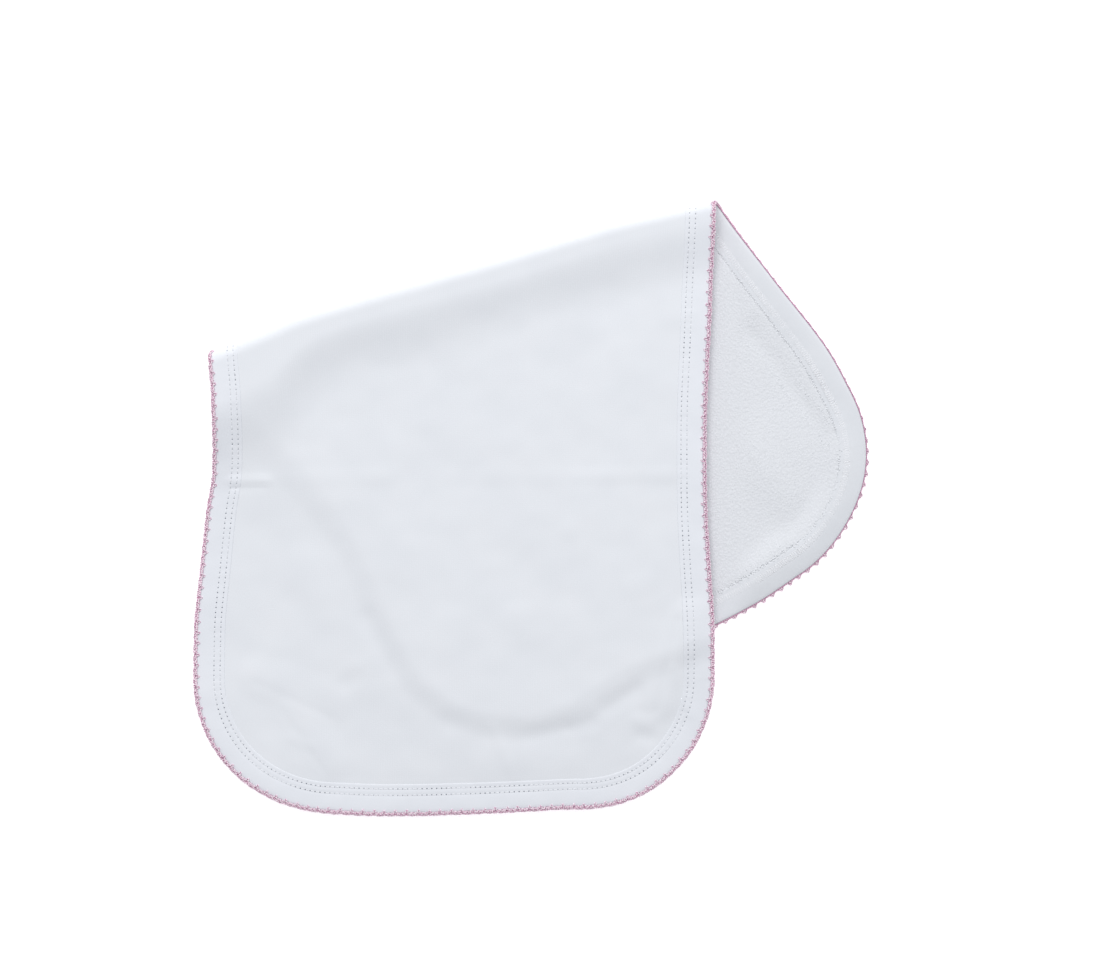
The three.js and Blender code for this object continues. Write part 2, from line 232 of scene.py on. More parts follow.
def middle(p):
    """The folded cloth's middle surface: round the roll on a half circle, then out along a flap."""
    pulled = p + stray(p) - CROSSING
    s, t = pulled @ ALONG, pulled @ ACROSS
    radius, bulge = read_table(ROLL, 1, s), read_table(ROLL, 2, s)
    turn = np.minimum(np.abs(t) / radius, np.pi / 2)
    run = np.abs(t) - radius * turn
    reach = radius * (1 - np.cos(turn)) + run
    out = reach - bulge * smooth(1 - reach / BULGE_REACH)
    xy = CROSSING_SEEN + s[..., None] * ALONG + out[..., None] * ACROSS
    under = CROSSING + s[..., None] * ALONG + (radius - reach - np.pi / 2 * radius)[..., None] * ACROSS
    past = outside(trace_back(under)) - STEP_START
    width = STEP_WIDTH + STEP_MORE * (1 - smooth(reach / STEP_FADE))
    down = smooth(past / width) * STEP_SHARE + smooth(past / STEP_SLOW) * (1 - STEP_SHARE)
    rest = UPPER_FLAP + (BEYOND - UPPER_FLAP) * down
    rest = rest + creased(UPPER_CREASES, xy) + waved(xy) * smooth(run / WAVES_OVER)
    crest = LOWER_FLAP + radius * (1 + np.sin(turn))
    start, length = read_table(DESCENT, 1, s), read_table(DESCENT, 2, s)
    upper = crest + (rest - crest) * come_down((run - start) / length)
    curled = smooth((xy[..., 1] - CURL_FROM) / CURL_OVER)
    band = LIFT_HEIGHT * bell((-outside(p) - LIFT_MIDDLE) / LIFT_HALF) * (1 - curled)
    band = band + CURL_HEIGHT * bell(-outside(p) / CURL_HALF) * curled
    puff = PUFF_HEIGHT * bell(np.hypot(xy[..., 0] - PUFF_X, xy[..., 1] - PUFF_Y) / PUFF_RADIUS)
    lift = (band + puff + creased(LOWER_CREASES, xy)) * smooth((xy[..., 0] - LIFT_FROM) / LIFT_OVER)
    lower = LOWER_FLAP + radius * (1 - np.sin(turn)) + lift
    return np.concatenate([xy, np.where(t < 0, lower, upper)[..., None]], axis=-1)


def normal_at(p):
    """The folded cloth's normal on its knit side: the cross product of its slopes along u and v."""
    du, dv = np.array([NUDGE, 0]), np.array([0, NUDGE])
    normal = np.cross(middle(p + du) - middle(p - du), middle(p + dv) - middle(p - dv))
    return normal / np.linalg.norm(normal, axis=-1, keepdims=True)


def press(points):
    """Cloth and thread flatten on the surface: heights under a fifth of a millimetre shrink towards 0."""
    z = points[..., 2]
    squashed = PRESSED * np.exp(np.minimum(z / PRESSED, 1) - 1)
    return np.concatenate([points[..., :2], np.where(z < PRESSED, squashed, z)[..., None]], axis=-1)


def lay(p, height):
    """Flat points and heights to their places: off the middle surface along its normal, then pressed."""
    return press(middle(p) + normal_at(p) * np.broadcast_to(height, p.shape[:-1])[..., None])


def panel_grid(inset, coarse, fine, column):
    """Flat points in rows along v, closer together over the fold, each as wide as the rounded outline."""
    end = LENGTH / 2 - inset
    low, high = FOLD_ROWS
    spans = ((-end, low, coarse), (low, high, fine), (high, end, coarse))
    rows = [np.linspace(a, b, int((b - a) / step), endpoint=False) for a, b, step in spans]
    v = np.concatenate(rows + [[end]])
    rise = np.clip(np.abs(v) - CORE[1], 0, None)
    half = CORE[0] + np.sqrt(np.maximum((CORNER - inset) ** 2 - rise ** 2, 0))
    share = np.linspace(-1, 1, int(WIDTH / column))
    return np.stack([share * half[:, None], np.broadcast_to(v[:, None], (len(v), len(share)))], axis=-1)


def grid_faces(rows, columns, wrap_rows=False, wrap_columns=False):
    """Four-sided faces between neighbours on a grid whose points are numbered row by row."""
    row = np.arange(rows if wrap_rows else rows - 1)[:, None]
    column = np.arange(columns if wrap_columns else columns - 1)[None, :]
    next_row, next_column = (row + 1) % rows, (column + 1) % columns
    corners = (row * columns + column, row * columns + next_column,
               next_row * columns + next_column, next_row * columns + column)
    return np.stack([np.broadcast_to(c, (row.size, column.size)) for c in corners], axis=-1).reshape(-1, 4)


def unrolled(places, faces, period):
    """A map's places at each face's corners. Its u runs round the piece. A face over the join is moved on by
    the period at its low corners, so that it doesn't fold back."""
    corners = places[faces]
    u = corners[..., 0]
    corners[..., 0] = u + period * (u.max(axis=1, keepdims=True) - u > period / 2)
    return corners


def make_piece(name, points, faces, maps, slot, material):
    """A mesh in metres from millimetre points and four-sided faces. Its UV maps are in metres too. Each is
    given as a place for every point, or for every corner of every face."""
    mesh = bpy.data.meshes.new(name)
    mesh.vertices.add(len(points))
    mesh.vertices.foreach_set("co", (points * METRE).astype(np.float32).ravel())
    mesh.loops.add(faces.size)
    mesh.loops.foreach_set("vertex_index", faces.astype(np.int32).ravel())
    mesh.polygons.add(len(faces))
    mesh.polygons.foreach_set("loop_start", np.arange(0, faces.size, 4, dtype=np.int32))
    mesh.update(calc_edges=True)
    mesh.shade_smooth()
    for title, places in maps.items():
        corners = places if places.ndim == 3 else places[faces]
        mesh.uv_layers.new(name=title).data.foreach_set("uv", (corners * METRE).astype(np.float32).ravel())
    mesh.materials.append(material)
    piece = bpy.data.objects.new(name, mesh)
    bpy.context.scene.collection.objects.link(piece)
    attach(piece, "root")
    return piece


def slab(flat, top, bottom):
    """Points, faces and flat places of a closed sheet between two heights over one grid of flat points."""
    rows, columns = flat.shape[:2]
    skin = grid_faces(rows, columns)
    number = np.arange(rows * columns).reshape(rows, columns)
    rim = np.concatenate([number[0, :-1], number[:-1, -1], number[-1, :0:-1], number[:0:-1, 0]])
    after = np.roll(rim, -1)
    under = rows * columns
    wall = np.stack([rim, rim + under, after + under, after], axis=-1)
    faces = np.concatenate([skin, skin[:, ::-1] + under, wall])
    points = np.concatenate([lay(flat, top).reshape(-1, 3), lay(flat, bottom).reshape(-1, 3)])
    return points, faces, {"flat": np.tile(flat.reshape(-1, 2), (2, 1))}


def linear(hex_colour):
    """An sRGB hex colour as linear red, green, blue and alpha."""
    parts = [int(hex_colour[i:i + 2], 16) / 255 for i in (1, 3, 5)]
    return [c / 12.92 if c <= 0.04045 else ((c + 0.055) / 1.055) ** 2.4 for c in parts] + [1.0]


def add_node(tree, kind, links=(), **settings):
    """Adds a node: settings name its properties or sockets, links are (socket name, output)."""
    node = tree.nodes.new(kind)
    for key, value in settings.items():
        if key in node.inputs:
            node.inputs[key].default_value = value
        else:
            setattr(node, key, value)
    for socket, output in links:
        tree.links.new(output, node.inputs[socket])
    return node


def new_material(name):
    """An empty node material with its output and a Principled shader joined to it."""
    material = bpy.data.materials.new(name)
    material.use_nodes = True
    tree = material.node_tree
    tree.nodes.clear()
    shader = add_node(tree, "ShaderNodeBsdfPrincipled", Metallic=0.0)
    output = add_node(tree, "ShaderNodeOutputMaterial")
    tree.links.new(shader.outputs["BSDF"], output.inputs["Surface"])
    return material, tree, shader


def tinted(tree, factor, low, high):
    """A colour between two hex colours: the low one where the factor is 0 and the high one where it is 1."""
    tint = add_node(tree, "ShaderNodeMix", [("Factor", factor)], data_type="RGBA")
    tint.inputs[6].default_value = linear(low)
    tint.inputs[7].default_value = linear(high)
    return tint.outputs[2]


# Blender's wave texture repeats after this length where its scale is 1
WAVE_REPEAT = np.pi / 10


def interlock_knit(name, pale, deep):
    """Cotton interlock: matt and evenly lit, with rounded upright wales crossed by shallow courses."""
    wale, course = 1.15, 0.95
    material, tree, shader = new_material(name)
    shader.inputs["Roughness"].default_value = 0.88
    shader.inputs["Sheen Weight"].default_value = 0.12
    shader.inputs["Sheen Roughness"].default_value = 0.6
    place = add_node(tree, "ShaderNodeUVMap", uv_map="flat").outputs["UV"]
    wales = add_node(tree, "ShaderNodeTexWave", [("Vector", place)], bands_direction="X",
                     Scale=WAVE_REPEAT / (wale * METRE), Distortion=0.6, Detail=1.0)
    courses = add_node(tree, "ShaderNodeTexWave", [("Vector", place)], bands_direction="Y",
                       Scale=WAVE_REPEAT / (course * METRE), Distortion=0.6, Detail=1.0)
    stitches = add_node(tree, "ShaderNodeMath", [(0, wales.outputs["Fac"]), (1, courses.outputs["Fac"])],
                        operation="MULTIPLY_ADD")
    tree.links.new(wales.outputs["Fac"], stitches.inputs[2])
    fuzz = add_node(tree, "ShaderNodeTexNoise", [("Vector", place)], Scale=1400.0, Detail=3.0)
    fuzz_bump = add_node(tree, "ShaderNodeBump", [("Height", fuzz.outputs["Fac"])],
                         Strength=0.25, Distance=0.0002)
    heights = [("Height", stitches.outputs[0]), ("Normal", fuzz_bump.outputs[0])]
    bump = add_node(tree, "ShaderNodeBump", heights, Strength=0.04, Distance=0.0002)
    tree.links.new(bump.outputs[0], shader.inputs["Normal"])
    blotch = add_node(tree, "ShaderNodeTexNoise", [("Vector", place)], Scale=38.0, Detail=2.0)
    tree.links.new(tinted(tree, blotch.outputs["Fac"], deep, pale), shader.inputs["Base Color"])
    return material, tree, shader


knit_grid = panel_grid(PANEL_INSET, COARSE_ROW, FINE_ROW, COLUMN)
from_band = -outside(knit_grid) - BAND_WIDTH
knit_top = KNIT_AT_BAND + (KNIT_OPEN - KNIT_AT_BAND) * smooth(from_band / RISE_OVER)
knit_top = knit_top - KNIT_SINK * smooth(-from_band / SINK_OVER)
knit_panel = make_piece("knit_panel", *slab(knit_grid, knit_top, KNIT_UNDER), "knit_front",
                        interlock_knit("cotton_interlock", "#ECEEF2", "#E4E7EC")[0])
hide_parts("front_panel")

# Terry back panel
# White cotton terry, a woven ground with small uncut loops standing on it, face out on the back of the cloth.
# It is cut to the knit's outline and caught with it in the band. Loops are made one by one where they show.

# Heights of the hidden face, of the ground and of the loops' feet
TERRY_TOP, TERRY_GROUND, LOOP_FOOT = -0.1, -1.28, -1.02
# The ground sinks in by this much under the band, from this far before it
TERRY_SINK, SINK_BEFORE = 0.5, 0.5
TERRY_STEP, TERRY_FINE = 3.0, 2.0


def terry_ground(name):
    """The ground under and between terry loops: matt cotton, pebbled about as closely as the loops stand,
    with painted shade a little darker towards the pebbles' edges.
    """
    spacing = 1.2
    material, tree, shader = new_material(name)
    shader.inputs["Roughness"].default_value = 0.95
    shader.inputs["Sheen Weight"].default_value = 0.15
    place = add_node(tree, "ShaderNodeUVMap", uv_map="flat").outputs["UV"]
    pebbles = add_node(tree, "ShaderNodeTexVoronoi", [("Vector", place)], Scale=1 / (spacing * METRE))
    bump = add_node(tree, "ShaderNodeBump", [("Height", pebbles.outputs["Distance"])], invert=True,
                    Strength=0.35, Distance=0.0006)
    tree.links.new(bump.outputs[0], shader.inputs["Normal"])
    # Painted shade: darker towards each pebble's edge, where the ground dips between pebbles
    pebble_edge_shade = tinted(tree, pebbles.outputs["Distance"], "#E6E8EC", "#E2E4E8")
    tree.links.new(pebble_edge_shade, shader.inputs["Base Color"])
    return material


terry_grid = panel_grid(PANEL_INSET, TERRY_STEP, TERRY_FINE, TERRY_STEP)
terry_low = TERRY_GROUND + TERRY_SINK * smooth((outside(terry_grid) + BAND_WIDTH + SINK_BEFORE) / SINK_OVER)
terry_panel = make_piece("terry_panel", *slab(terry_grid, TERRY_TOP, terry_low), "terry_loops",
                         terry_ground("cotton_terry_ground"))
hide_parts("terry_back")


def terry_loops(spacing, keep):
    """Small arches on a jittered grid of flat places. Each is a thick soft thread, closed at both feet, that
    bows to one side and leans its own way. They are flattened, and a little lower beside the band."""
    reach, rise, radius, bow, steps, sides = 0.54, 0.18, 0.48, 0.3, 5, 4
    flattened, past_foot, jitter, tipped = 0.55, 0.15, 0.22, 0.35
    smallest, largest = 0.86, 1.08
    lowered, lowered_over = 0.15, 4.0
    draw = np.random.default_rng(11)
    u, v = np.meshgrid(np.arange(-WIDTH / 2, WIDTH / 2, spacing), np.arange(-LENGTH / 2, LENGTH / 2, spacing))
    v = v + (np.arange(u.shape[1]) % 2) * spacing / 2
    flat = np.stack([u.ravel(), v.ravel()], axis=-1)
    flat = flat[keep(flat)]
    flat = flat + draw.uniform(-jitter, jitter, flat.shape) * spacing
    count = len(flat)
    turn, lean = draw.uniform(0, 2 * np.pi, count), draw.uniform(-tipped, tipped, count)
    size = draw.uniform(smallest, largest, count)
    swing = np.linspace(-past_foot, np.pi + past_foot, steps)
    side, up = -reach * np.cos(swing), rise * np.sin(swing)
    ring = np.linspace(0, 2 * np.pi, sides, endpoint=False)
    heading = np.stack([np.cos(turn), np.sin(turn)], axis=-1)
    square = np.stack([-np.sin(turn), np.cos(turn)], axis=-1)
    out = side + radius * np.cos(ring)[:, None] * -np.cos(swing)
    high = up + radius * np.cos(ring)[:, None] * np.sin(swing)
    wide = np.broadcast_to(radius * np.sin(ring)[:, None], out.shape)
    along = size[:, None, None] * out
    bent = size * draw.choice([-bow, bow], count)
    off = size[:, None, None] * wide + lean[:, None, None] * high + bent[:, None, None] * np.sin(swing)
    places = flat[:, None, None] + along[..., None] * heading[:, None, None]
    places = places + off[..., None] * square[:, None, None]
    held = 1 - lowered * smooth(1 - (-outside(flat) - BAND_WIDTH) / lowered_over)
    points = lay(places, LOOP_FOOT - flattened * (size * held)[:, None, None] * high)
    foot = np.arange(sides) * steps
    feet = [foot, foot[::-1] + steps - 1]
    faces = np.concatenate([grid_faces(sides, steps, wrap_rows=True), feet])[:, ::-1]
    faces = faces + np.arange(count)[:, None, None] * sides * steps
    return points.reshape(-1, 3), faces.reshape(-1, 4), {"flat": places.reshape(-1, 2)}


def terry_thread(name):
    """Loop thread: soft spun cotton, matt and fuzzy, and very slightly mottled by its fuzz."""
    material, tree, shader = new_material(name)
    shader.inputs["Roughness"].default_value = 0.95
    shader.inputs["Sheen Weight"].default_value = 0.2
    place = add_node(tree, "ShaderNodeUVMap", uv_map="flat").outputs["UV"]
    fuzz = add_node(tree, "ShaderNodeTexNoise", [("Vector", place)], Scale=900.0, Detail=3.0)
    bump = add_node(tree, "ShaderNodeBump", [("Height", fuzz.outputs["Fac"])], Strength=0.2, Distance=0.0003)
    tree.links.new(bump.outputs[0], shader.inputs["Normal"])
    deep_and_pale = tinted(tree, fuzz.outputs["Fac"], "#E4E6EA", "#E8EAEE")
    tree.links.new(deep_and_pale, shader.inputs["Base Color"])
    return material


# Loops stand from this x on, this far past the fold's line, and this far in under the band
OPEN_FROM, PAST_FOLD, UNDER_BAND = 84.0, 4.0, 0.6


def in_view(flat):
    """Flat places of the lower flap's open end, inside the band."""
    across = (flat + stray(flat) - CROSSING) @ ACROSS
    inside = outside(flat) < -BAND_WIDTH + UNDER_BAND
    return inside & (across < -PAST_FOLD) & (middle(flat)[:, 0] > OPEN_FROM)


loops = make_piece("terry_loops", *terry_loops(spacing=1.25, keep=in_view), "terry_loops",
                   terry_thread("cotton_terry_thread"))

# Binding
# One strip of the knit folded over both panels' edges all round, nearly 14 mm wide on either side. Two needle
# rows hold it down near its inner edge, and the strip puckers a little between and beside them.

# How far in the middle of the two rows is, how far each row is from it, and the length of a stitch
ROW_MIDDLE, ROW_APART, STITCH = 10.2, 1.5, 2.36
QUARTER = np.pi / 2 * CORNER
# Arc lengths round the cut edge where its straights and its corners begin
EDGE_BREAKS = np.cumsum([0] + 2 * [2 * CORE[1], QUARTER, 2 * CORE[0], QUARTER])
PERIMETER = EDGE_BREAKS[-1]
# How the strip lies from its inner edge to its fold: inset, and height of its skin on the front and the back
STRIP = np.array([
    (13.9, 0.95, 1.1), (13.4, 1.04, 1.17), (12.4, 1.03, 1.17), (11.7, 0.97, 1.13), (11.0, 1.04, 1.15),
    (10.2, 1.08, 1.17), (9.4, 1.06, 1.16), (8.7, 0.98, 1.13), (8.0, 1.06, 1.16), (7.0, 1.13, 1.19),
    (4.5, 1.2, 1.2), (2.2, 1.17, 1.17), (1.0, 1.04, 1.04), (0.35, 0.78, 0.78), (0.06, 0.4, 0.4),
    (0.0, 0.0, 0.0)])
STRIP_THICKNESS = 0.42
# Puckers: the height and the reach of the short ones at the rows, the height of the long ones farther out,
# how far in those begin and over what width, and the width at the fold that stays plain
SHORT_PUCKER, ROW_REACH, LONG_PUCKER, LONG_FROM, LONG_OVER, FOLD_PLAIN = 0.05, 5.0, 0.055, 9.0, 3.0, 2.5
# The stitches draw the strip in at each hole: over what reach, by how much, and how much more on the front
PINCH_REACH, PINCH, PINCH_MORE = 0.55, 0.06, 0.04


def edge_point(a, inset):
    """The flat point at arc length a round the cut edge, moved in by an inset: sides are straight, corners
    quarter circles."""
    a = a % PERIMETER
    cu, cv = CORE
    u = np.interp(a, EDGE_BREAKS, [cu, cu, cu, -cu, -cu, -cu, -cu, cu, cu])
    v = np.interp(a, EDGE_BREAKS, [-cv, cv, cv, cv, cv, -cv, -cv, -cv, -cv])
    angle = np.radians(np.interp(a, EDGE_BREAKS, [0, 0, 90, 90, 180, 180, 270, 270, 360]))
    return np.stack([u + (CORNER - inset) * np.cos(angle), v + (CORNER - inset) * np.sin(angle)], axis=-1)


# Length along the middle of the rows at each break, and the whole number of stitches that fits
ROW_BREAKS = np.concatenate([[0], np.cumsum(np.diff(EDGE_BREAKS) * ([1, 1 - ROW_MIDDLE / CORNER] * 4))])
STITCHES = round(ROW_BREAKS[-1] / STITCH)


def stitch_at(a):
    """How many stitches lie between the start and arc length a, spaced evenly along the rows' middle."""
    return np.interp(a, EDGE_BREAKS, ROW_BREAKS) / ROW_BREAKS[-1] * STITCHES


def arc_of(stitch):
    """The arc length at which a number of stitches is reached: the other way round."""
    return np.interp(stitch / STITCHES * ROW_BREAKS[-1], ROW_BREAKS, EDGE_BREAKS)


def pucker(a, inset, side):
    """How far the strip stands up or down beside its stitches: a product and sums of sines, so many radians a
    millimetre, the short waves at the rows and the long ones between the rows and the fold."""
    near_rows = bell((inset - ROW_MIDDLE) / ROW_REACH)
    outer = smooth((LONG_FROM - inset) / LONG_OVER) * smooth(inset / FOLD_PLAIN)
    fine = np.sin(a * 1.37 + side) * np.sin(a * 0.31 + 2 * side) + 0.6 * np.sin(a * 0.83 + inset * 0.4)
    broad = np.sin(a * 0.19 + 1.3 * side + inset * 0.12) + 0.7 * np.sin(a * 0.41 - inset * 0.3)
    return SHORT_PUCKER * fine * near_rows + LONG_PUCKER * broad * outer


def binding_strip(spacing):
    """The folded strip: a hairpin section, out along one face, round the edge and back, and the same again
    inside it, a thickness away."""
    count = int(PERIMETER / spacing)
    arcs = np.arange(count) * PERIMETER / count
    front = STRIP[-2::-1]
    inset = np.concatenate([STRIP[:, 0], front[:, 0]])
    height = np.concatenate([-STRIP[:, 2], front[:, 1]])
    a, d = np.meshgrid(arcs, inset, indexing="ij")
    side = np.sign(height)
    holes = 0.5 + 0.5 * np.cos(2 * np.pi * stitch_at(a))
    pinch = bell((np.abs(d - ROW_MIDDLE) - ROW_APART) / PINCH_REACH)
    outer = height + side * (pucker(a, d, side) - (PINCH + PINCH_MORE * side) * pinch * holes)
    turn_in = np.minimum(d, 1.0)
    inner = outer - side * STRIP_THICKNESS * turn_in
    inner_inset = d + STRIP_THICKNESS * (1 - turn_in)
    flat = np.concatenate([edge_point(a, d), edge_point(a, inner_inset)[:, ::-1]], axis=1)
    heights = np.concatenate([outer, inner[:, ::-1]], axis=1)
    faces = grid_faces(*flat.shape[:2], wrap_rows=True, wrap_columns=True)[:, ::-1]
    along = stitch_at(a) * STITCH
    across = np.broadcast_to(side * d, a.shape)
    rows = np.stack([np.tile(along, 2), np.concatenate([across, across[:, ::-1]], axis=1)], axis=-1)
    maps = {"flat": flat.reshape(-1, 2), "rows": unrolled(rows.reshape(-1, 2), faces, STITCHES * STITCH)}
    return lay(flat, heights).reshape(-1, 3), faces, maps


def paint_hole_and_back_shade(tree, shader):
    """Paints shade into a knit at the needle holes: dark round spots, a stitch apart in two rows and unevenly
    open, stand for the shade inside the holes.
    The strip's back is painted a shade greyer than its front, as painted shade for the band of the lower
    flap's open end."""
    knit = shader.inputs["Base Color"].links[0].from_socket
    place = add_node(tree, "ShaderNodeUVMap", uv_map="rows").outputs["UV"]
    parts = add_node(tree, "ShaderNodeSeparateXYZ", [(0, place)])
    # Painted shade: the strip's back side is multiplied a shade greyer
    on_back = add_node(tree, "ShaderNodeMath", [(0, parts.outputs["Y"])], operation="LESS_THAN")
    on_back.inputs[1].default_value = 0.0
    painted_back_shade = add_node(tree, "ShaderNodeMix", [("Factor", on_back.outputs[0])], data_type="RGBA",
                      blend_type="MULTIPLY")
    tree.links.new(knit, painted_back_shade.inputs[6])
    painted_back_shade.inputs[7].default_value = linear("#F8F8F7")
    along = add_node(tree, "ShaderNodeMath", [(0, parts.outputs["X"])], operation="PINGPONG")
    along.inputs[1].default_value = STITCH / 2 * METRE
    from_middle = add_node(tree, "ShaderNodeMath", [(0, parts.outputs["Y"])], operation="SUBTRACT")
    from_middle.inputs[1].default_value = ROW_MIDDLE * METRE
    either = add_node(tree, "ShaderNodeMath", [(0, from_middle.outputs[0])], operation="ABSOLUTE")
    across = add_node(tree, "ShaderNodeMath", [(0, either.outputs[0])], operation="SUBTRACT")
    across.inputs[1].default_value = ROW_APART * METRE
    offset = add_node(tree, "ShaderNodeCombineXYZ", [("X", along.outputs[0]), ("Y", across.outputs[0])])
    distance = add_node(tree, "ShaderNodeVectorMath", [(0, offset.outputs[0])], operation="LENGTH")
    hole = add_node(tree, "ShaderNodeMapRange", [("Value", distance.outputs["Value"])],
                    **{"From Min": 0.2 * METRE, "From Max": 0.38 * METRE, "To Min": 1.0, "To Max": 0.0})
    uneven = add_node(tree, "ShaderNodeTexNoise", [("Vector", place)], Scale=75.0, Detail=3.0)
    open_share = add_node(tree, "ShaderNodeMapRange", [("Value", uneven.outputs["Fac"])],
                          **{"From Min": 0.38, "From Max": 0.62, "To Min": 0.25, "To Max": 1.0})
    depth = add_node(tree, "ShaderNodeMath", [(0, hole.outputs[0]), (1, open_share.outputs[0])],
                     operation="MULTIPLY")
    # Painted shade: the needle holes are coloured dark for the shade inside them
    painted_hole_shade = add_node(tree, "ShaderNodeMix", [("Factor", depth.outputs[0])], data_type="RGBA")
    tree.links.new(painted_back_shade.outputs[2], painted_hole_shade.inputs[6])
    painted_hole_shade.inputs[7].default_value = linear("#4C5364")
    tree.links.new(painted_hole_shade.outputs[2], shader.inputs["Base Color"])


strip_knit, strip_tree, strip_shader = interlock_knit("cotton_interlock_strip", "#ECEEF3", "#E6E9EF")
# Painted shade at the needle holes and on the strip's back
paint_hole_and_back_shade(strip_tree, strip_shader)
strip = make_piece("binding_strip", *binding_strip(spacing=0.95), "knit_binding", strip_knit)
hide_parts("binding")

# Coverstitch
# White polyester sewing thread: two needle threads run over the strip in stitches that dive at each hole,
# and a looper thread under the cloth crosses from row to row.

# Radii of the two threads
NEEDLE_THREAD, LOOPER_THREAD = 0.14, 0.16
# The looper thread lies this deep under the middle surface, sags by this much between the rows, passes this
# far under the run that it crosses, sinks into the cloth by up to this much, and reaches past the rows
LOOPER_DEPTH, LOOPER_SAG, LOOPER_CROSSING, LOOPER_SINK, LOOPER_PAST = 1.12, 0.05, 0.05, 0.16, 0.1
# Stitch, and the height of the needle thread off the middle surface
NEEDLE_PATH = np.array([(0, 0.0), (0.14, 0.45), (0.3, 1.04), (0.7, 1.04), (0.86, 0.45)])


def round_and_round(table, column, turns):
    """A table of one repeat read at any number of turns, as one smooth closed curve."""
    before, after = table.copy(), table.copy()
    before[:, 0] -= 1
    after[:, 0] += 1
    return read_table(np.concatenate([before, table, after]), column, turns % 1)


def closed_thread(flat, height, radius, sides):
    """A round thread along a closed path of flat points and heights: rings square to the path, pressed where
    they meet the surface. Its map runs along the thread and round it."""
    normal = normal_at(flat)
    centre = middle(flat) + normal * np.broadcast_to(height, flat.shape[:-1])[..., None]
    ahead = np.roll(centre, -1, axis=0) - np.roll(centre, 1, axis=0)
    ahead /= np.linalg.norm(ahead, axis=-1, keepdims=True)
    side = np.cross(ahead, normal)
    side /= np.linalg.norm(side, axis=-1, keepdims=True)
    up = np.cross(side, ahead)
    turn = np.arange(sides) / sides * 2 * np.pi
    ring = np.cos(turn)[:, None] * side[:, None] + np.sin(turn)[:, None] * up[:, None]
    radius = np.broadcast_to(radius, height.shape)
    points = press(centre[:, None] + radius[:, None, None] * ring)
    step = np.linalg.norm(centre - np.roll(centre, 1, axis=0), axis=-1)
    step[0] = 0
    along = np.broadcast_to(np.cumsum(step)[:, None], points.shape[:2])
    around = np.broadcast_to(turn, points.shape[:2]) * radius[:, None]
    faces = grid_faces(len(centre), sides, wrap_rows=True, wrap_columns=True)[:, ::-1]
    return points.reshape(-1, 3), faces, np.stack([along, around], axis=-1).reshape(-1, 2)


def bundle(threads):
    """Several threads as one mesh: points one after another, faces counted on."""
    starts = np.cumsum([0] + [len(points) for points, _, _ in threads[:-1]])
    faces = np.concatenate([faces + start for start, (_, faces, _) in zip(starts, threads)])
    return (np.concatenate([points for points, _, _ in threads]), faces,
            {"flat": np.concatenate([places for _, _, places in threads])})


def spun_thread(name, pale, deep, twist):
    """Plied thread: soft and slightly shiny, with slanting plies and painted shade, a darker line, in the
    grooves between them.
    """
    material, tree, shader = new_material(name)
    shader.inputs["Roughness"].default_value = 0.7
    shader.inputs["Sheen Weight"].default_value = 0.25
    place = add_node(tree, "ShaderNodeUVMap", uv_map="flat").outputs["UV"]
    turned = add_node(tree, "ShaderNodeMapping", [("Vector", place)])
    turned.inputs["Rotation"].default_value = (0, 0, np.radians(40))
    plies = add_node(tree, "ShaderNodeTexWave", [("Vector", turned.outputs[0])], Distortion=1.5, Detail=2.0,
                     Scale=WAVE_REPEAT / (twist * METRE))
    bump = add_node(tree, "ShaderNodeBump", [("Height", plies.outputs["Fac"])], Strength=0.4, Distance=0.0001)
    tree.links.new(bump.outputs[0], shader.inputs["Normal"])
    # Painted shade: the deep colour lies in the grooves between the plies
    share = add_node(tree, "ShaderNodeMapRange", [("Value", plies.outputs["Fac"])], **{"From Max": 0.7})
    tree.links.new(tinted(tree, share.outputs[0], deep, pale), shader.inputs["Base Color"])
    return material


def needle_row(inset):
    """One needle thread: over the strip between holes and down at each."""
    stitch = (np.arange(STITCHES)[:, None] + NEEDLE_PATH[:, 0]).ravel()
    height = round_and_round(NEEDLE_PATH, 1, stitch)
    return closed_thread(edge_point(arc_of(stitch), inset), height, NEEDLE_THREAD, sides=4)


def looper_row(phase):
    """One run of the looper thread: a cosine from row to row, once a stitch. Slow sines vary its depth."""
    samples = 8
    stitch = np.arange(STITCHES * samples) / samples
    swing = np.cos(2 * np.pi * (stitch + phase))
    height = -LOOPER_DEPTH - LOOPER_SAG * np.abs(np.sin(2 * np.pi * (stitch + phase)))
    height = height - LOOPER_CROSSING * (phase > 0)
    height = height + LOOPER_SINK * (0.5 + 0.5 * np.sin(stitch * 0.23) * np.sin(stitch * 0.071 + 1))
    flat = edge_point(arc_of(stitch), ROW_MIDDLE + (ROW_APART + LOOPER_PAST) * swing)
    return closed_thread(flat, height, LOOPER_THREAD, sides=4)


sewing_thread = spun_thread("white_sewing_thread", "#FCFCFE", "#F2F3F7", twist=0.35)
needle_threads = [needle_row(ROW_MIDDLE + side * ROW_APART) for side in (-1, 1)]
needle_rows = make_piece("needle_rows", *bundle(needle_threads), "knit_binding", sewing_thread)
looper_threads = [looper_row(phase) for phase in (0.0, 0.5)]
looper_rows = make_piece("looper_rows", *bundle(looper_threads), "knit_binding", sewing_thread)

# Crochet edging
# Pink cotton thread crocheted into the binding's fold. A foundation lies packed along the fold, in cotton
# painted a deeper pink for the shade there; a chain and shells stand out past it, and each scallop is caught
# through the strip with a hook of thread and laced.

# A scallop's length, and the whole number that fits round the edge
SCALLOP = 5.4
SCALLOPS = round(PERIMETER / SCALLOP)
